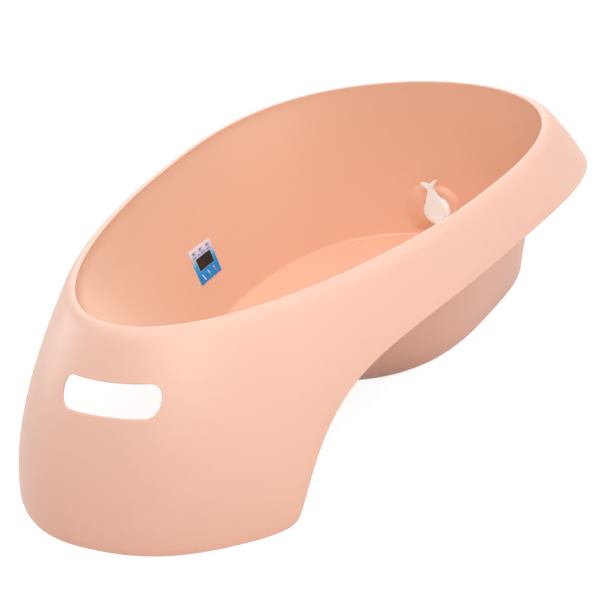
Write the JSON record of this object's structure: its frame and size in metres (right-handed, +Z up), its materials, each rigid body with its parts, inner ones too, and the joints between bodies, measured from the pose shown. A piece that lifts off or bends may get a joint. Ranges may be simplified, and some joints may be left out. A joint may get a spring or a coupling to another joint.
{
  "type": "baby bathtub",
  "caption": "Moulded baby bathtub with an oval basin, a skirt down to the ground at the head end, a hand slot, a pull-out drain plug and a temperature label.",
  "frame": {"origin": "on the ground under the middle of the outline", "axes": "+X along the tub towards the drain end, +Y across it, +Z up"},
  "size_m": [0.9463, 0.4822, 0.219],
  "materials": {
    "tub": "satin outside, semi-gloss inside",
    "plug": "satin",
    "seal": "matt",
    "label": "printed film",
    "window": "clear film over liquid crystal",
    "foot": "matt"
  },
  "bodies": {
    "tub": {"tub_shell": "tub", "thermo_label": "label", "lcd_window": "window", "foot_head_left": "foot", "foot_head_right": "foot", "foot_drain_left": "foot", "foot_drain_right": "foot"},
    "plug": {"whale_plug": "plug", "plug_seal": "seal"}
  },
  "joints": [
    {"name": "plug_pull", "type": "slide", "parent": "tub", "child": "plug", "axis": [-1, 0, 0], "range_m": [0, 0.03]}
  ]
}
